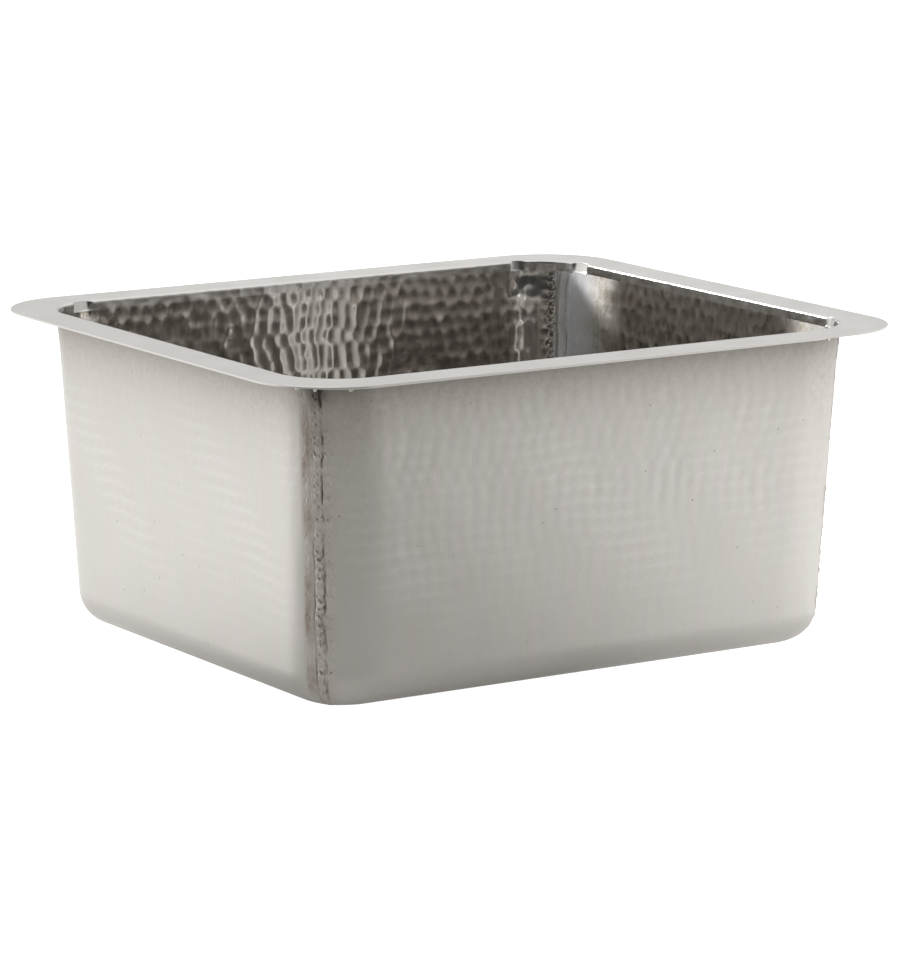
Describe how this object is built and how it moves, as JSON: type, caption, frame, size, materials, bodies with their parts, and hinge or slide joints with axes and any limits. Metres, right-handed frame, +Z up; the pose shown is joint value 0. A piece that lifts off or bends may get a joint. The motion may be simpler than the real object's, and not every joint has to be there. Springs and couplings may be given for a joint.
{
  "type": "bar prep sink",
  "caption": "Undermount rectangular prep sink folded from hammered steel sheet, with a flat rim, a tapered bowl and a basket strainer with a sliding stopper.",
  "frame": {"origin": "centre of the bowl's opening, in the rim's top face", "axes": "+X along the sink's length, +Y from the user's side to the wall side, +Z up out of the bowl"},
  "size_m": [0.432, 0.381, 0.2436],
  "materials": {
    "hammered_steel": "hammered, half polished",
    "seam_steel": "hammered weld",
    "satin_steel": "satin",
    "weld_metal": "as welded",
    "turned_steel": "polished",
    "polished_chrome": "polished",
    "soft_rubber": "matte",
    "fibre": "matte",
    "plain_brass": "turned",
    "white_plastic": "smooth"
  },
  "bodies": {
    "sink": {"bowl_shell": "hammered_steel", "corner_seam_front_left": "seam_steel", "corner_seam_front_right": "seam_steel", "corner_seam_back_left": "seam_steel", "corner_seam_back_right": "seam_steel", "rim_flange": "satin_steel", "rim_tack_welds": "weld_metal", "strainer_body": "turned_steel", "flange_gasket": "soft_rubber", "floor_washer": "soft_rubber", "friction_ring": "fibre", "lock_nut": "plain_brass"},
    "basket": {"strainer_basket": "turned_steel", "stem_bush": "white_plastic", "stem_grip_ring": "soft_rubber"},
    "stopper": {"stopper_stem": "turned_steel", "stopper_knob": "polished_chrome", "seal_plate": "turned_steel", "stopper_seal": "soft_rubber", "nut_washer": "turned_steel", "stem_nut": "plain_brass"}
  },
  "joints": [
    {"name": "basket_lift", "type": "slide", "parent": "sink", "child": "basket", "axis": [0, 0, 1], "range_m": [0, 0.06]},
    {"name": "stopper_lift", "type": "slide", "parent": "basket", "child": "stopper", "axis": [0, 0, 1], "range_m": [0, 0.008]}
  ]
}
